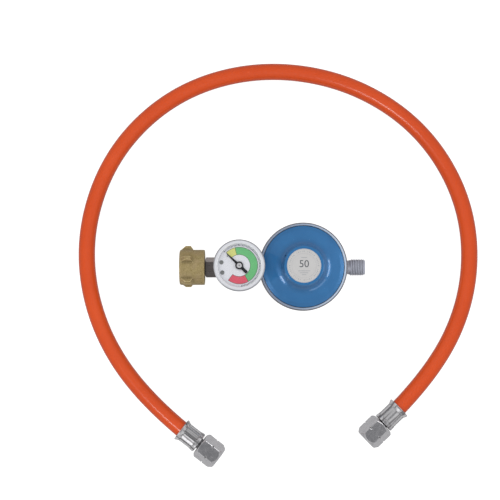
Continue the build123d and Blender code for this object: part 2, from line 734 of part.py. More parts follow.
# ---------------------------------------------------------------- write the nodes
save("housing_body", housing_body())
save("housing_lid", housing_lid())
save("label_disc", label_disc())
save("adjusting_plug", adjusting_plug())
save("main_spring", main_spring())
save("diaphragm", diaphragm())
save("diaphragm_plate", diaphragm_plate())
save("diaphragm_stem", diaphragm_stem())
save("stem_nut", stem_nut())
save("lever", lever())
save("lever_pin", lever_pin())
save("valve_pad", valve_pad())
save("inlet_orifice", inlet_orifice())
save("wing_nut", wing_nut())
save("inlet_nipple", inlet_nipple())
save("inlet_seal", inlet_seal())
save("inlet_filter", inlet_filter())
save("gauge_tee", gauge_tee())
save("gauge_socket", gauge_socket())
save("gauge_seal", gauge_seal())
save("gauge_case", gauge_case())
save("gauge_bezel", gauge_bezel())
save("gauge_lens", gauge_lens())
save("gauge_dial", gauge_dial())
save("dial_screws", dial_screws())
save("stop_pin", stop_pin())
save("gauge_needle", gauge_needle())
save("needle_cap", needle_cap())
save("pinion_arbor", pinion_arbor())
save("sector_gear", sector_gear())
save("movement_plates", movement_plates())
save("bourdon_tube", bourdon_tube())
save("bourdon_link", bourdon_link())
save("hose_tube", hose_tube())
for end in fittings:
    save(f"ferrule_{end}", at_fitting(end, ferrule()))
    save(f"hose_nipple_{end}", at_fitting(end, hose_nipple()))
    save(f"union_nut_{end}", at_fitting(end, Pos(fittings[end]["nut_at"], 0, 0) * union_nut()))
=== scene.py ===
import json
import math

import bmesh
import bpy
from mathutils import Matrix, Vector


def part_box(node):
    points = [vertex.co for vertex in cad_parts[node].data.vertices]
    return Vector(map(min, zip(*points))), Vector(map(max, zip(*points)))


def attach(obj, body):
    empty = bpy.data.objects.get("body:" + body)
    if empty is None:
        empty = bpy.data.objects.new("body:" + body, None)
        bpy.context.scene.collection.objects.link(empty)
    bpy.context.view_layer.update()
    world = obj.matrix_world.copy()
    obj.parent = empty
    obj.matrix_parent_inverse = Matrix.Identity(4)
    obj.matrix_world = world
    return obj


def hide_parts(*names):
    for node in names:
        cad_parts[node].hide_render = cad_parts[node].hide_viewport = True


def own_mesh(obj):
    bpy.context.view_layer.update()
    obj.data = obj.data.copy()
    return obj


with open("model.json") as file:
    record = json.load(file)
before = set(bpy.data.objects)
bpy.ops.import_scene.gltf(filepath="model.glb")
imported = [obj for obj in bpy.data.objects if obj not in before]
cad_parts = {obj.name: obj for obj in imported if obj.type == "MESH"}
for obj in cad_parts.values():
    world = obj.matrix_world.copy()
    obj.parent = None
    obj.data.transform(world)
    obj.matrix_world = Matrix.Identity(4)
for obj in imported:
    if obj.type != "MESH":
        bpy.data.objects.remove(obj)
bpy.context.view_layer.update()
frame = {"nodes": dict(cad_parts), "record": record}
nodes = frame["nodes"]
scene = bpy.context.scene
MM = 0.001


# ---------------------------------------------------------------- camera
view = bpy.data.cameras.new("camera")
view.sensor_width = 36.0
view.lens = 97.5
view.clip_start = 0.01
camera = bpy.data.objects.new("camera", view)
camera.location = (-0.04242, -0.05257, 1.10595)
camera.rotation_euler = (math.radians(3.5), 0, 0)
scene.collection.objects.link(camera)
scene.camera = camera
scene.view_settings.view_transform = "Standard"


# ---------------------------------------------------------------- the hose's line
# Route of the hose's centre line, the same points as in the part's source. Millimetres and degrees.
HOSE_RADIUS = 6.65
FITTING_HEIGHT = 9.5                    # of both sleeves' axes above the floor
INSIDE_SLEEVE = 16.5                    # how far the hose goes into each sleeve
STRAIGHT_A, STRAIGHT_B = 35.9, 37.3     # how far it runs on each sleeve's axis outside
MOUTH_A, HEADING_A = (-97.8, -130.05), -37.5
MOUTH_B, HEADING_B = (77.9, -112.65), 223.8
FREE_RUN = [(-167.6, -46.65), (-178.9, 24.05), (-156.1, 93.85), (-104.2, 144.15), (-34.6, 164.55),
            (38.9, 153.55), (99.7, 113.85), (135.3, 50.55), (136.5, -21.35)]


def on_axis(mouth, heading, distance):
    """Point on a sleeve's axis, counted from its mouth inwards."""
    angle = math.radians(heading)
    return (mouth[0] + distance * math.cos(angle), mouth[1] + distance * math.sin(angle),
            FITTING_HEIGHT)


ROUTE = [
    on_axis(MOUTH_A, HEADING_A, INSIDE_SLEEVE), on_axis(MOUTH_A, HEADING_A, -STRAIGHT_A),
    *[(x, y, HOSE_RADIUS) for x, y in FREE_RUN],
    on_axis(MOUTH_B, HEADING_B, -STRAIGHT_B), on_axis(MOUTH_B, HEADING_B, INSIDE_SLEEVE),
]
line = bpy.data.curves.new("hose", "CURVE")
line.dimensions = "3D"
spline = line.splines.new("NURBS")
spline.points.add(len(ROUTE) - 1)
for point, place in zip(spline.points, ROUTE):
    point.co = [value * MM for value in place] + [1.0]
spline.order_u = 3
spline.use_endpoint_u = True
spline.resolution_u = 24
line.bevel_depth = HOSE_RADIUS * MM
line.bevel_resolution = 14
line.use_fill_caps = True
hose = bpy.data.objects.new("hose", line)
scene.collection.objects.link(hose)


# ---------------------------------------------------------------- materials
def rgb(red, green, blue):
    """Linear colour from display values of 0 to 255."""
    def linear(value):
        value /= 255
        return value / 12.92 if value <= 0.04045 else ((value + 0.055) / 1.055) ** 2.4
    return linear(red), linear(green), linear(blue), 1.0


class Finish:
    """One Principled material, with short calls that add its nodes. Millimetres and degrees."""

    def __init__(self, name, metallic=0.0, **sockets):
        self.material = bpy.data.materials.new(name)
        self.material.use_nodes = True
        self.tree = self.material.node_tree
        self.shader = self.tree.nodes["Principled BSDF"]
        self.shader.inputs["Metallic"].default_value = metallic
        for socket, value in sockets.items():
            self.shader.inputs[socket.replace("_", " ")].default_value = value
        self.place = self.add("ShaderNodeTexCoord").outputs["Object"]
        self.axes = None

    def add(self, kind, **settings):
        node = self.tree.nodes.new(kind)
        for name, value in settings.items():
            setattr(node, name, value)
        return node

    def feed(self, socket, value):
        if hasattr(value, "node"):
            self.tree.links.new(value, socket)
        else:
            socket.default_value = value

    def maths(self, operation, first, second=0.0, third=0.0):
        node = self.add("ShaderNodeMath", operation=operation)
        for socket, value in zip(node.inputs, (first, second, third)):
            self.feed(socket, value)
        return node.outputs[0]

    def axis(self, which, centre=0.0):
        """One coordinate in millimetres, counted from centre."""
        if self.axes is None:
            self.axes = self.add("ShaderNodeSeparateXYZ")
            self.feed(self.axes.inputs[0], self.place)
        return self.maths("MULTIPLY_ADD", self.axes.outputs[which], 1000.0, -centre)

    def distance(self, x, y):
        """How far the point (x, y) lies from zero."""
        squares = self.maths("ADD", self.maths("MULTIPLY", x, x), self.maths("MULTIPLY", y, y))
        return self.maths("SQRT", squares)

    def noise(self, size, detail=3.0, rough=0.5, stretch=(1, 1, 1), lumps=0.0, heading=0.0):
        """Noise with features of about that size, stretched along axes that heading turns."""
        place = self.add("ShaderNodeMapping", vector_type="TEXTURE")
        self.feed(place.inputs["Vector"], self.place)
        place.inputs["Rotation"].default_value[2] = math.radians(heading)
        place.inputs["Scale"].default_value = [size * MM * part for part in stretch]
        node = self.add("ShaderNodeTexNoise")
        self.feed(node.inputs["Vector"], place.outputs[0])
        node.inputs["Scale"].default_value = 1.0
        node.inputs["Detail"].default_value = detail
        node.inputs["Roughness"].default_value = rough
        node.inputs["Distortion"].default_value = lumps
        return node.outputs["Fac"]

    def between(self, value, low, high, start=0.0, end=1.0):
        """Map value from low..high to start..end, and stop there."""
        node = self.add("ShaderNodeMapRange", clamp=True)
        for socket, number in zip(node.inputs, (value, low, high, start, end)):
            self.feed(socket, number)
        return node.outputs[0]

    def blend(self, factor, first, second):
        node = self.add("ShaderNodeMix", data_type="RGBA")
        self.feed(node.inputs["Factor"], factor)
        self.feed(node.inputs[6], first)
        self.feed(node.inputs[7], second)
        return node.outputs[2]

    def colour(self, value):
        self.feed(self.shader.inputs["Base Color"], value)

    def roughness(self, value):
        self.feed(self.shader.inputs["Roughness"], value)

    def painted_corner_shade(self, reach):
        """1 in the open, towards 0 in corners and gaps of about this reach, where the materials
        paint shade.
        """
        node = self.add("ShaderNodeAmbientOcclusion", samples=8)
        node.inputs["Distance"].default_value = reach * MM
        return node.outputs["AO"]

    def painted_edge_highlight(self, radius, begins=0.985, ends=0.9):
        """1 on sharp outer edges, 0 on open faces; the materials paint a highlight on these edges.
        """
        rounded = self.add("ShaderNodeBevel", samples=6)
        rounded.inputs["Radius"].default_value = radius * MM
        match = self.add("ShaderNodeVectorMath", operation="DOT_PRODUCT")
        self.feed(match.inputs[0], rounded.outputs[0])
        self.feed(match.inputs[1], self.add("ShaderNodeNewGeometry").outputs["Normal"])
        return self.between(match.outputs["Value"], begins, ends)

    def round_edges(self, radius):
        """Shade sharp edges as if they were rounded. Called before any bump."""
        node = self.add("ShaderNodeBevel", samples=6)
        node.inputs["Radius"].default_value = radius * MM
        self.feed(self.shader.inputs["Normal"], node.outputs[0])

    def bump(self, height, depth, strength=1.0):
        """Raise the surface by height times depth millimetres. Calls add up."""
        node = self.add("ShaderNodeBump")
        node.inputs["Strength"].default_value = strength
        node.inputs["Distance"].default_value = depth * MM
        self.feed(node.inputs["Height"], height)
        before = self.shader.inputs["Normal"].links
        if before:
            self.feed(node.inputs["Normal"], before[0].from_socket)
        self.feed(self.shader.inputs["Normal"], node.outputs[0])


def hose_rubber():
    f = Finish("orange_hose_rubber", Specular_IOR_Level=0.1, Coat_Weight=0.75, Coat_Roughness=0.2)
    cloudy = f.noise(38, 3)
    fine = f.noise(1.3, 3, 0.6)
    base = f.blend(f.between(cloudy, 0.3, 0.7), rgb(197, 66, 8), rgb(205, 73, 16))
    base = f.blend(f.between(fine, 0.35, 0.75, 0.0, 0.22), base, rgb(180, 53, 10))
    scuff = f.between(f.noise(9, 5, 0.7, lumps=0.6), 0.66, 0.74, 0.0, 0.25)
    f.colour(f.blend(scuff, base, rgb(240, 118, 74)))
    f.roughness(f.between(f.noise(2.6, 4, 0.65), 0.3, 0.7, 0.36, 0.5))
    f.bump(f.noise(0.7, 3, 0.6), 0.03, 0.6)
    f.bump(f.noise(7, 2), 0.12, 0.4)
    return f.material


def bright_zinc(name, light, dark, heading=None):
    """Zinc-plated steel: bright, cloudy and pitted, with drawn marks along a heading, a painted
    highlight on its edges and painted shade in its corners.
    """
    f = Finish(name, metallic=1.0)
    cloudy = f.noise(4.5, 4, 0.6)
    base = f.blend(f.between(cloudy, 0.3, 0.72), light, dark)
    pits = f.between(f.noise(0.55, 2, 0.5), 0.68, 0.78)
    base = f.blend(f.maths("MULTIPLY", pits, 0.5), base, rgb(120, 118, 116))
    if heading is not None:
        drawn = f.noise(2.2, 2, 0.5, stretch=(30, 1, 1), heading=heading)
        base = f.blend(f.between(drawn, 0.48, 0.6, 0.0, 0.75), base, rgb(108, 105, 108))
    # Painted highlight: near white on the sharp edges.
    base = f.blend(f.maths("MULTIPLY", f.painted_edge_highlight(0.5), 0.8), base, rgb(252, 252, 254))
    # Painted shade: dark grey in corners and gaps.
    f.colour(f.blend(f.between(f.painted_corner_shade(1.5), 0.35, 0.95), rgb(64, 63, 64), base))
    f.roughness(f.between(f.noise(1.8, 4, 0.65), 0.3, 0.72, 0.17, 0.34))
    f.round_edges(0.9)
    f.bump(f.noise(0.35, 3, 0.6), 0.006, 0.4)
    f.bump(f.noise(2.2, 2), 0.05, 0.3)
    return f.material


RIM_OUTER = 35.3               # radius just outside the housing's rim
RIM_HIGHLIGHT_EDGE = 33.9              # radius inside which the rim's top has a painted highlight, and outside which its edge has painted shade
RIM_FLANK, RIM_TOP = (29.8, 30.6), (30.5, 31.0)     # heights over which the rim's tones change: the painted shade on its outer band darkens upwards, and the painted highlight on its top sets in
OUTLET_TURNED = 35.2           # x from which the outlet is turned


def cast_zinc():
    """Die-cast zinc: grainy grey, lighter where turned, with painted shade in corners and on the
    rim's outer band, and painted highlights on the rim's top and the outlet's edges.
    """
    f = Finish("cast_zinc", Specular_IOR_Level=0.4)
    grain = f.noise(0.8, 4, 0.65)
    cloudy = f.noise(9, 3)
    base = f.blend(f.between(grain, 0.3, 0.75), rgb(167, 169, 181), rgb(149, 151, 162))
    base = f.blend(f.between(cloudy, 0.35, 0.7, 0.0, 0.5), base, rgb(178, 180, 192))
    x, y, z = f.axis("X"), f.axis("Y"), f.axis("Z")
    turned = f.between(x, OUTLET_TURNED, OUTLET_TURNED + 0.3)
    base = f.blend(f.maths("MULTIPLY", turned, 0.8), base, rgb(177, 180, 193))
    # Painted highlight: lighter on the turned outlet's edges and thread crests.
    base = f.blend(f.maths("MULTIPLY", turned, f.painted_edge_highlight(0.3)), base, rgb(216, 218, 230))
    radius = f.distance(x, y)
    within_rim = f.between(radius, RIM_OUTER, RIM_OUTER + 0.1, 1.0, 0.0)
    # The skin mask marks the rim's outer band, which gets painted shade, darker towards its top.
    skin = f.maths("MULTIPLY", within_rim, f.between(radius, RIM_HIGHLIGHT_EDGE, RIM_HIGHLIGHT_EDGE + 0.5))
    rim_shade_tone = f.blend(f.between(z, *RIM_FLANK), rgb(116, 117, 125), rgb(84, 84, 90))
    base = f.blend(f.maths("MULTIPLY", skin, 0.9), base, rim_shade_tone)
    # Painted highlight on the rim's top, bluish and lighter towards +x.
    on_top = f.maths("MULTIPLY", f.between(z, *RIM_TOP),
                     f.between(radius, RIM_HIGHLIGHT_EDGE, RIM_HIGHLIGHT_EDGE + 0.3, 1.0, 0.0))
    rim_highlight = f.maths("MULTIPLY", within_rim, on_top)
    rim_highlight_tone = f.blend(f.between(x, -10, 28), rgb(146, 160, 182), rgb(204, 220, 240))
    base = f.blend(f.maths("MULTIPLY", rim_highlight, 0.9), base, rim_highlight_tone)
    # Painted shade: dark grey in corners and gaps.
    f.colour(f.blend(f.between(f.painted_corner_shade(1.2), 0.1, 0.7), rgb(80, 82, 90), base))
    metallic = f.blend(rim_highlight, f.between(skin, 0, 1, 0.25, 0.0), (0.5, 0.5, 0.5, 1))
    f.feed(f.shader.inputs["Metallic"], metallic)
    f.roughness(f.between(grain, 0.3, 0.75, 0.34, 0.5))
    f.bump(grain, 0.05, 0.55)
    f.bump(f.noise(3.4, 2), 0.1, 0.3)
    return f.material


def blue_paint():
    """Glossy metallic-blue enamel with orange peel and dust specks, and painted shade in corners.
    """
    f = Finish("blue_paint", metallic=0.25, Specular_IOR_Level=0.3, Coat_Weight=0.75,
               Coat_Roughness=0.06)
    cloudy = f.noise(16, 3)
    fine = f.noise(0.5, 2, 0.6)
    base = f.blend(f.between(cloudy, 0.3, 0.7), rgb(34, 102, 157), rgb(41, 111, 167))
    base = f.blend(f.between(fine, 0.4, 0.8, 0.0, 0.3), base, rgb(60, 120, 174))
    specks = f.between(f.noise(0.9, 2, 0.4), 0.74, 0.79, 0.0, 0.55)
    base = f.blend(specks, base, rgb(120, 165, 205))
    # Painted shade: dark blue in corners and gaps.
    f.colour(f.blend(f.between(f.painted_corner_shade(2.0), 0.45, 0.9), rgb(22, 58, 92), base))
    f.roughness(f.between(f.noise(3.0, 3), 0.3, 0.7, 0.28, 0.42))
    f.bump(f.noise(1.9, 2, 0.4), 0.035, 0.5)
    f.bump(f.noise(11, 2), 0.25, 0.35)
    return f.material


def cast_brass():
    """Rough cast brass: olive skin, dark in pores, with a painted highlight on its edges and
    painted shade in corners.
    """
    f = Finish("cast_brass", metallic=0.4, Specular_IOR_Level=0.4)
    skin = f.noise(1.1, 5, 0.7)
    cloudy = f.noise(6, 3, lumps=0.5)
    base = f.blend(f.between(skin, 0.3, 0.72), rgb(188, 170, 124), rgb(132, 114, 66))
    base = f.blend(f.between(cloudy, 0.42, 0.66, 0.0, 0.5), base, rgb(172, 152, 118))
    pores = f.between(f.noise(0.7, 2, 0.5), 0.64, 0.74, 0.0, 0.7)
    base = f.blend(pores, base, rgb(86, 72, 40))
    # Painted highlight: pale brass on the sharp edges.
    brass_edge_highlight = f.maths("MULTIPLY", f.painted_edge_highlight(0.8, 0.995, 0.95), 0.9)
    base = f.blend(brass_edge_highlight, base, rgb(228, 212, 160))
    # Painted shade: dark olive in corners and gaps.
    f.colour(f.blend(f.between(f.painted_corner_shade(3.0), 0.5, 1.0), rgb(70, 55, 24), base))
    f.roughness(f.between(skin, 0.3, 0.72, 0.36, 0.56))
    f.bump(skin, 0.12, 0.7)
    f.bump(f.noise(4.0, 3), 0.25, 0.4)
    return f.material


def turned_brass():
    f = Finish("turned_brass", metallic=1.0)
    marks = f.noise(0.6, 3, stretch=(1, 6, 6))
    f.colour(f.blend(f.between(marks, 0.3, 0.7), rgb(222, 190, 110), rgb(196, 160, 84)))
    f.roughness(f.between(marks, 0.3, 0.7, 0.22, 0.38))
    f.bump(marks, 0.02, 0.5)
    return f.material


def dark_steel(name="dark_steel", light=rgb(138, 136, 138), dark=rgb(112, 110, 113), metallic=1.0):
    """Plain steel bar with drawing marks along it."""
    f = Finish(name, metallic=metallic)
    marks = f.noise(0.5, 4, 0.6, stretch=(14, 1, 1))
    f.colour(f.blend(f.between(marks, 0.3, 0.72), light, dark))
    f.roughness(f.between(f.noise(2.5, 3), 0.3, 0.7, 0.26, 0.4))
    f.bump(marks, 0.01, 0.4)
    return f.material


low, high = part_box("gauge_dial")
DIAL_X, DIAL_Y = (low[0] + high[0]) / 2 / MM, (low[1] + high[1]) / 2 / MM
DIAL_TOP = high[2] / MM
RING_INNER, RING_EDGE = 17.1, 19.1     # radii between which the gauge's ring has its plain tone; painted light whitens it inside, and painted shade darkens its outer edge


def gauge_silver():
    """Pressed ring and cup, brushed round the gauge's axis, with painted light whitening it inside
    and painted shade darkening its edge.
    """
    f = Finish("gauge_silver", metallic=0.3)
    x, y = f.axis("X", DIAL_X), f.axis("Y")
    radius = f.distance(x, y)
    turn = f.maths("ARCTAN2", y, x)
    place = f.add("ShaderNodeCombineXYZ")
    f.feed(place.inputs[0], f.maths("MULTIPLY", radius, 3.2))
    f.feed(place.inputs[1], f.maths("MULTIPLY", f.maths("SINE", turn), 1.6))
    f.feed(place.inputs[2], f.axis("Z"))
    brushed = f.add("ShaderNodeTexNoise")
    f.feed(brushed.inputs["Vector"], place.outputs[0])
    brushed.inputs["Scale"].default_value = 1.6
    brushed.inputs["Detail"].default_value = 4.0
    marks = brushed.outputs["Fac"]
    base = f.blend(f.between(marks, 0.3, 0.7), rgb(226, 227, 232), rgb(213, 215, 221))
    # Painted shade: darker grey towards the outer edge.
    edge = f.between(radius, RING_EDGE, RING_EDGE + 0.5, 0.0, 0.7)
    # Painted light: near white inside the ring, over the shade there.
    painted_light_inside = f.between(radius, RING_INNER, RING_INNER + 0.5, 0.95, 0.0)
    base = f.blend(edge, base, rgb(128, 130, 136))
    f.colour(f.blend(painted_light_inside, base, rgb(254, 254, 255)))
    f.roughness(f.between(marks, 0.3, 0.7, 0.38, 0.5))
    f.bump(marks, 0.02, 0.35)
    return f.material


def glass():
    f = Finish("gauge_glass", Roughness=0.04, IOR=1.49, Alpha=0.04)
    smear = f.noise(9, 4, 0.7, lumps=0.8)
    f.colour(f.blend(f.between(smear, 0.4, 0.7), rgb(70, 74, 78), rgb(56, 60, 64)))
    return f.material


def printed(name, light, dark, rough=(0.42, 0.55), grain=0.3):
    """Print or paint on a flat disc, with a fine grain."""
    f = Finish(name)
    fine = f.noise(grain, 3, 0.6)
    base = f.blend(f.between(fine, 0.3, 0.7), light, dark)
    f.colour(f.blend(f.between(f.noise(5, 3), 0.4, 0.75, 0.0, 0.4), base, dark))
    f.roughness(f.between(fine, 0.3, 0.7, *rough))
    f.bump(fine, 0.006, 0.4)
    return f.material


def soft_rubber():
    f = Finish("black_rubber", Specular_IOR_Level=0.4)
    fine = f.noise(0.6, 4, 0.65)
    f.colour(f.blend(f.between(fine, 0.3, 0.7), rgb(34, 34, 35), rgb(52, 51, 50)))
    f.roughness(f.between(fine, 0.3, 0.7, 0.5, 0.72))
    f.bump(fine, 0.03, 0.5)
    return f.material


def spring_steel():
    f = Finish("spring_steel", metallic=1.0)
    marks = f.noise(0.4, 3)
    f.colour(f.blend(f.between(marks, 0.3, 0.7), rgb(170, 172, 176), rgb(132, 134, 140)))
    f.roughness(f.between(marks, 0.3, 0.7, 0.22, 0.36))
    f.bump(marks, 0.01, 0.4)
    return f.material


MATERIALS = {
    "hose_rubber": hose_rubber(),
    "zinc_steel": bright_zinc("zinc_steel", rgb(231, 230, 233), rgb(214, 213, 217)),
    "cast_zinc": cast_zinc(),
    "blue_paint": blue_paint(),
    "brass": turned_brass(),
    "case_steel": gauge_silver(),
    "lens": glass(),
    "dial_white": printed("dial_white", rgb(234, 235, 241), rgb(226, 227, 233)),
    "label": printed("label_print", rgb(195, 194, 193), rgb(186, 185, 185), grain=0.5),
    "black_enamel": printed("black_enamel", rgb(18, 18, 22), rgb(30, 30, 36), (0.45, 0.6)),
    "dark_steel": dark_steel(),
    "spring_steel": spring_steel(),
    "rubber": soft_rubber(),
    "plug_plastic": printed("plug_plastic", rgb(46, 46, 48), rgb(58, 58, 60), (0.4, 0.6), 0.8),
}
SCREW_STEEL = printed("screw_steel", rgb(134, 136, 136), rgb(112, 114, 114), (0.3, 0.42))
OWN_MATERIALS = {              # of nodes that look different from their slot's material
    "wing_nut": cast_brass(),
    "ferrule_a": bright_zinc("sleeve_a", rgb(248, 247, 249), rgb(232, 231, 234), HEADING_A),
    "ferrule_b": bright_zinc("sleeve_b", rgb(248, 247, 249), rgb(232, 231, 234), HEADING_B),
    "needle_cap": printed("cap_steel", rgb(206, 205, 208), rgb(190, 189, 193), (0.3, 0.42)),
    "gauge_tee": dark_steel("tee_steel", rgb(110, 104, 103), rgb(86, 81, 80), 0.6),
    "dial_screws": SCREW_STEEL,
    "stop_pin": SCREW_STEEL,
    "pinion_arbor": SCREW_STEEL,
}
INKS = {
    "green": printed("print_green", rgb(118, 197, 133), rgb(106, 188, 123)),
    "yellow": printed("print_yellow", rgb(224, 226, 142), rgb(216, 217, 128)),
    "red": printed("print_red", rgb(229, 97, 115), rgb(220, 90, 108)),
    "dark": printed("print_dark", rgb(70, 74, 80), rgb(88, 92, 98)),
    "grey": printed("print_grey", rgb(140, 143, 148), rgb(156, 159, 164)),
    "edge": printed("print_edge", rgb(66, 84, 72), rgb(84, 96, 86)),
    "tick": printed("print_tick", rgb(64, 62, 84), rgb(84, 82, 104)),
}

for name, piece in nodes.items():
    for slot in piece.material_slots:
        kind = slot.material.name.split(".")[0]
        slot.material = OWN_MATERIALS.get(name, MATERIALS[kind])


# ---------------------------------------------------------------- mesh helpers
def new_piece(name, vertices, faces, material):
    """A flat-shaded piece of the regulator. Vertices are in millimetres."""
    mesh = bpy.data.meshes.new(name)
    mesh.from_pydata([[value * MM for value in vertex] for vertex in vertices], [], faces)
    mesh.materials.append(material)
    for face in mesh.polygons:
        face.use_smooth = False
    mesh.update()
    piece = bpy.data.objects.new(name, mesh)
    scene.collection.objects.link(piece)
    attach(piece, "regulator")


PRINT_DEPTH = 0.03             # thickness of print in millimetres
PLATE_TURN = 3.0               # largest turn of one plate in a ring, in degrees


class Print:
    """Thin flat print, as many small plates in one mesh. Millimetres and degrees."""

    def __init__(self, x, y, low, thickness=PRINT_DEPTH):
        self.x, self.y, self.low, self.high = x, y, low, low + thickness
        self.vertices, self.faces = [], []

    def plate(self, outline):
        """A plate with this outline of (x, y) points, anticlockwise."""
        first, count = len(self.vertices), len(outline)
        for height in (self.low, self.high):
            self.vertices += [(self.x + u, self.y + v, height) for u, v in outline]
        self.faces.append([first + count + i for i in range(count)])
        self.faces.append([first + i for i in reversed(range(count))])
        for i in range(count):
            j = (i + 1) % count
            self.faces.append([first + i, first + j, first + count + j, first + count + i])

    def sector(self, inner, outer, start, end):
        """Part of a ring from start to end, made of short plates. A whole ring has no end faces."""
        count = max(1, math.ceil((end - start) / PLATE_TURN))
        first = len(self.vertices)
        for i in range(count + 1):
            angle = math.radians(start + (end - start) * i / count)
            for radius in (inner, outer):
                for height in (self.low, self.high):
                    self.vertices.append((self.x + radius * math.cos(angle),
                                          self.y + radius * math.sin(angle), height))
        for i in range(count):
            a, b = first + 4 * i, first + 4 * (i + 1)
            self.faces += [(a + 1, a + 3, b + 3, b + 1), (a, b, b + 2, a + 2),
                           (a, a + 1, b + 1, b), (a + 2, b + 2, b + 3, a + 3)]
        if end - start < 359.9:
            a, b = first, first + 4 * count
            self.faces += [(a, a + 2, a + 3, a + 1), (b, b + 1, b + 3, b + 2)]

    def bar(self, x, y, length, width, turn=0.0):
        """A bar with its middle at (x, y), turned about it."""
        c, s = math.cos(math.radians(turn)), math.sin(math.radians(turn))
        corners = [(-length / 2, -width / 2), (length / 2, -width / 2), (length / 2, width / 2),
                   (-length / 2, width / 2)]
        self.plate([(x + u * c - v * s, y + u * s + v * c) for u, v in corners])

    def spoke(self, radius, angle, length, width):
        """A bar that points away from the centre, with its middle at radius."""
        self.bar(radius * math.cos(math.radians(angle)), radius * math.sin(math.radians(angle)),
                 length, width, angle)

    def done(self, name, material):
        new_piece(name, self.vertices, self.faces, material)


def number(text, x, y, height, size, material, slot, name):
    """A plain number as a mesh, with its middle at this place. Millimetres."""
    letters = bpy.data.curves.new(name, "FONT")
    letters.body = text
    letters.size = size * MM
    letters.align_x = "CENTER"
    letters.align_y = "CENTER"
    letters.extrude = PRINT_DEPTH * MM / 2
    holder = bpy.data.objects.new(name + "_outline", letters)
    scene.collection.objects.link(holder)
    bpy.context.view_layer.update()
    mesh = bpy.data.meshes.new_from_object(holder)
    bpy.data.objects.remove(holder)
    for vertex in mesh.vertices:
        u, v, w = vertex.co
        vertex.co = (x * MM + u, y * MM + v, height * MM + w)
    mesh.materials.clear()
    mesh.materials.append(material)
    piece = bpy.data.objects.new(name, mesh)
    scene.collection.objects.link(piece)
    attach(piece, "regulator")


# ---------------------------------------------------------------- the hose as a cord
hose.data.materials.append(MATERIALS["hose_rubber"])
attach(hose, "hose")
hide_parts("hose_tube")


# ---------------------------------------------------------------- outlet with a real thread
# Millimetres
OUTLET_START, OUTLET_END = 37.2, 49.8
THREAD_START, THREAD_END = OUTLET_START + 0.75, OUTLET_END - 0.55
CREST, ROOT, PITCH = 6.57, 5.85, 1.337
HALF_FOOT, HALF_TOP = 0.48, 0.17        # half the ridge's width at its foot and top, in pitches
FADE, FLATTEST = 0.4, 0.02              # turns of the run-out, and the share of height left there
CHAMFER, CHAMFER_SLOPE = 1.1, 0.8       # length of the crest's drop at the end, and its slope
STEPS_PER_TURN = 32
AXIS_HEIGHT = 17.5
MARGIN = 0.05                           # keeps surfaces from coinciding, and tells vertices apart


def housing_casting():
    """The housing with its outlet cylinder let in to the thread's root."""
    mesh = nodes["housing_body"].data.copy()
    mesh.name = "housing_casting"
    work = bmesh.new()
    work.from_mesh(mesh)
    bmesh.ops.remove_doubles(work, verts=work.verts, dist=1e-6)
    for vertex in work.verts:
        x, y, z = (value / MM for value in vertex.co)
        radius = math.hypot(y, z - AXIS_HEIGHT)
        if x > OUTLET_START - MARGIN and radius > ROOT + MARGIN:
            shrink = ROOT / radius
            vertex.co = (x * MM, y * shrink * MM, (AXIS_HEIGHT + (z - AXIS_HEIGHT) * shrink) * MM)
    work.to_mesh(mesh)
    work.free()
    mesh.set_sharp_from_angle(angle=math.radians(32))
    piece = bpy.data.objects.new("housing_casting", mesh)
    scene.collection.objects.link(piece)
    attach(piece, "regulator")
    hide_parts("housing_body")
    return piece


def thread_ridge():
    """Left-hand helix of the outlet's thread, which dies out at both ends."""
    turns = (THREAD_END - THREAD_START) / PITCH
    count = int(turns * STEPS_PER_TURN)
    vertices, faces = [], []
    for i in range(count + 1):
        turn = i / STEPS_PER_TURN
        fade = min(1.0, turn / FADE, (turns - turn) / FADE)
        x = THREAD_START + PITCH * turn
        crest = ROOT - MARGIN + (CREST - ROOT + MARGIN) * max(fade, FLATTEST)
        crest = min(crest, CREST - max(0.0, x - OUTLET_END + CHAMFER) * CHAMFER_SLOPE)
        foot = ROOT - 2 * MARGIN
        angle = -2 * math.pi * turn
        for offset, radius in ((-HALF_FOOT, foot), (-HALF_TOP, crest), (HALF_TOP, crest),
                               (HALF_FOOT, foot)):
            vertices.append((x + offset * PITCH, radius * math.cos(angle),
                             AXIS_HEIGHT + radius * math.sin(angle)))
    for i in range(count):
        for j in range(3):
            a = 4 * i + j
            faces.append((a, a + 1, a + 5, a + 4))
        a = 4 * i
        faces.append((a + 3, a, a + 4, a + 7))
    last = 4 * count
    faces += [(3, 2, 1, 0), (last, last + 1, last + 2, last + 3)]
    new_piece("outlet_thread", vertices, faces, MATERIALS["cast_zinc"])


casting = housing_casting()
thread_ridge()


# ---------------------------------------------------------------- spring and diaphragm
def flattening(node):
    """A copy of the node with a mesh of its own, in the node's place."""
    piece = bpy.data.objects.new(node + "_flexible", nodes[node].data.copy())
    scene.collection.objects.link(piece)
    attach(piece, "regulator")
    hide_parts(node)
    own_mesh(piece)


joints = frame["record"]["behaviour"]["joints"]
travel = next(joint for joint in joints if joint["name"] == "diaphragm_travel")
for item in travel["deforming_nodes"]:
    flattening(item["node"])


# ---------------------------------------------------------------- gauge dial print
# Radii in millimetres, angles in degrees.
ZONE_INNER, ZONE_OUTER = 8.55, 14.4
ZONE_BORDERS = (135.0, 103.5, -60.5, -127.0)        # of the yellow, the green and the red zone
BORDER_WIDTH = 0.32

for colour, end, start in zip(("yellow", "green", "red"), ZONE_BORDERS, ZONE_BORDERS[1:]):
    zone = Print(DIAL_X, DIAL_Y, DIAL_TOP)
    zone.sector(ZONE_INNER, ZONE_OUTER, start, end)
    zone.done("dial_zone_" + colour, INKS[colour])

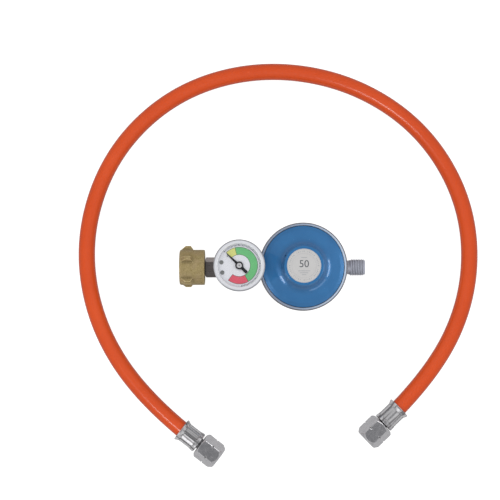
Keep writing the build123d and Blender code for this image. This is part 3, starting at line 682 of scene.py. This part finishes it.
edges = Print(DIAL_X, DIAL_Y, DIAL_TOP + PRINT_DEPTH, 0.02)
for radius in (ZONE_OUTER, ZONE_INNER):
    edges.sector(radius - BORDER_WIDTH / 2, radius + BORDER_WIDTH / 2,
                 ZONE_BORDERS[-1], ZONE_BORDERS[0])
for angle in ZONE_BORDERS:
    edges.spoke((ZONE_INNER + ZONE_OUTER) / 2, angle, ZONE_OUTER - ZONE_INNER, BORDER_WIDTH)
edges.done("dial_zone_edges", INKS["edge"])

SCALE_START, SCALE_END, SCALE_STEPS = 137.0, -83.0, 55
TICK_INNER = 15.35
LONG_EVERY = 11                # steps from one long tick to the next
ticks = Print(DIAL_X, DIAL_Y, DIAL_TOP)
for i in range(SCALE_STEPS + 1):
    angle = SCALE_START + (SCALE_END - SCALE_START) * i / SCALE_STEPS
    length, width = (1.0, 0.42) if i % LONG_EVERY else (1.4, 0.55)
    ticks.spoke(TICK_INNER + length / 2, angle, length, width)
ticks.done("dial_ticks", INKS["tick"])


# ---------------------------------------------------------------- label print
LABEL_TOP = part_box("label_disc")[1][2] / MM
LABEL_RINGS = ((12.95, 13.1), (9.6, 9.7))           # inner and outer radii
MARK_PLACES, MARK_RADIUS, MARK_LENGTH = 48, 11.3, 0.9           # every sixth place is bare
LABEL_BARS = ((6.4, 4.6), (-4.1, 9.4), (-5.6, 6.6), (-7.1, 3.4))     # y and length
BAR_WIDTH = 0.42

art = Print(0, 0, LABEL_TOP)
for inner, outer in LABEL_RINGS:
    art.sector(inner, outer, 0, 360)
for i in range(MARK_PLACES):
    if i % 6 != 5:
        art.spoke(MARK_RADIUS, 360 / MARK_PLACES * i, MARK_LENGTH, 0.35 if i % 3 else 0.6)
for y, length in LABEL_BARS:
    art.bar(0, y, length, BAR_WIDTH)
art.done("label_print", INKS["grey"])
number("50", 0, 1.2, LABEL_TOP + PRINT_DEPTH / 2, 8.0, INKS["dark"], "label", "label_number")


# ---------------------------------------------------------------- floor, light and world
# Metres, degrees and watts.
FLOOR_REACH, FLOOR_DROP = 9, 0.0003
FLOOR_GLOW, FLOOR_WHITE = 0.08, 0.85     # the floor's own light, towards the pieces and the camera
WORLD_WHITE, WORLD_STRENGTH = 1.5, 0.7   # the world to the camera, and its light
MIDDLE = (-0.03, 0, 0.02)                # of the regulator
SLEEVE_A_PLACE, NUTS_PLACE = (-0.09, -0.136, 0.01), (-0.01, -0.1, 0.01)

floor_mesh = bpy.data.meshes.new("floor")
corners = [(-FLOOR_REACH, -FLOOR_REACH, 0), (FLOOR_REACH, -FLOOR_REACH, 0),
           (FLOOR_REACH, FLOOR_REACH, 0), (-FLOOR_REACH, FLOOR_REACH, 0)]
floor_mesh.from_pydata(corners, [], [(0, 1, 2, 3)])
floor = bpy.data.objects.new("floor", floor_mesh)
floor.location.z = -FLOOR_DROP
scene.collection.objects.link(floor)
pale = Finish("pale_floor", Roughness=0.95, Specular_IOR_Level=0.1)
cloudy = pale.between(pale.noise(90, 3), 0.3, 0.7)
pale.colour(pale.blend(cloudy, (0.41, 0.41, 0.41, 1), (0.43, 0.43, 0.43, 1)))
pale.shader.inputs["Emission Color"].default_value = (1, 1, 1, 1)
floor_seen = pale.add("ShaderNodeLightPath").outputs["Is Camera Ray"]
pale.feed(pale.shader.inputs["Emission Strength"],
          pale.between(floor_seen, 0, 1, FLOOR_GLOW, FLOOR_WHITE))
floor_mesh.materials.append(pale.material)


def softbox(name, place, target, width, height, power, lit=(), mirrored=True, scattered=True,
            shadows=False):
    """A rectangular lamp. It lights only the pieces in lit, or everything if none is given."""
    light = bpy.data.lights.new(name, "AREA")
    light.shape = "RECTANGLE"
    light.size, light.size_y = width, height
    light.energy = power
    light.use_shadow = shadows
    lamp = bpy.data.objects.new(name, light)
    lamp.location = place
    lamp.rotation_euler = (Vector(target) - Vector(place)).to_track_quat("-Z", "Y").to_euler()
    lamp.visible_glossy = mirrored
    lamp.visible_diffuse = scattered
    scene.collection.objects.link(lamp)
    if lit:
        group = bpy.data.collections.new(name + "_lights")
        for piece in lit:
            group.objects.link(piece)
        lamp.light_linking.receiver_collection = group


def lamp_at(name, azimuth, elevation, distance, width, height, power, lit, **settings):
    """A softbox that faces the regulator, placed by its direction and distance."""
    a, e = math.radians(azimuth), math.radians(elevation)
    reach = distance * math.cos(e)
    place = (reach * math.cos(a) + MIDDLE[0], reach * math.sin(a), distance * math.sin(e))
    softbox(name, place, MIDDLE, width, height, power, lit, **settings)


FITTINGS = [nodes[name] for name in ("ferrule_a", "ferrule_b", "union_nut_a", "union_nut_b")]
NUTS = FITTINGS[2:]
REPLACED = (nodes["hose_tube"], nodes["housing_body"])
REGULATOR = [casting] + [piece for piece in nodes.values()
                         if piece not in FITTINGS and piece not in REPLACED]

# Three lamps are only mirrored, as streaks on the metal and the paint.
lamp_at("left_box", 201, 9, 1.2, 0.9, 0.36, 5.6, REGULATOR, scattered=False)
lamp_at("right_box", -2, 8, 1.2, 0.8, 0.3, 3.4, REGULATOR, scattered=False)
lamp_at("low_box", -50, 7, 1.2, 1.0, 0.26, 1.3, REGULATOR, scattered=False)
# Two only brighten the bar and the housing.
lamp_at("tee_box", 90, 2, 0.6, 0.3, 0.3, 14.0, [nodes["gauge_tee"]], mirrored=False)
lamp_at("side_box", 30, 35, 1.2, 0.8, 0.8, 2.0, [casting, nodes["housing_lid"]], mirrored=False)
# Three give the loose hose, its nuts and all its fittings their highlights.
softbox("hose_box", (-0.55, -0.75, 1.4), SLEEVE_A_PLACE, 0.35, 0.35, 4.6, [hose])
softbox("edge_box", (0.45, 0.62, 1.1), NUTS_PLACE, 0.8, 0.8, 5.0, NUTS)
softbox("fitting_box", (-0.76, -1.03, 1.0), SLEEVE_A_PLACE, 0.45, 0.45, 0.5, FITTINGS)
# The main light, which throws the shadows.
softbox("overhead", (0, 0, 2.5), (0, 0, 0), 3.0, 3.0, 55.0, mirrored=False, shadows=True)

# The world's light changes with height, from the horizon (0) to straight above (1).
world = bpy.data.worlds.new("studio")
world.use_nodes = True
tree = world.node_tree
background = tree.nodes["Background"]
direction = tree.nodes.new("ShaderNodeTexCoord")
parts = tree.nodes.new("ShaderNodeSeparateXYZ")
ramp = tree.nodes.new("ShaderNodeValToRGB")
tree.links.new(direction.outputs["Generated"], parts.inputs[0])
tree.links.new(parts.outputs["Z"], ramp.inputs["Fac"])
world_seen = tree.nodes.new("ShaderNodeLightPath").outputs["Is Camera Ray"]
backdrop = tree.nodes.new("ShaderNodeMix")
backdrop.data_type = "RGBA"
backdrop.inputs[7].default_value = (WORLD_WHITE, WORLD_WHITE, WORLD_WHITE, 1)
tree.links.new(world_seen, backdrop.inputs["Factor"])
tree.links.new(ramp.outputs["Color"], backdrop.inputs[6])
tree.links.new(backdrop.outputs[2], background.inputs["Color"])
ramp.color_ramp.interpolation = "EASE"
stops = ramp.color_ramp.elements
stops[0].position, stops[0].color = 0.0, (0.6, 0.6, 0.6, 1)
stops[1].position, stops[1].color = 1.0, (0.30, 0.305, 0.315, 1)
for position, level in ((0.35, 0.75), (0.62, 0.85), (0.82, 0.65), (0.93, 0.4)):
    stop = stops.new(position)
    stop.color = (level, level, level, 1)
background.inputs["Strength"].default_value = WORLD_STRENGTH
scene.world = world
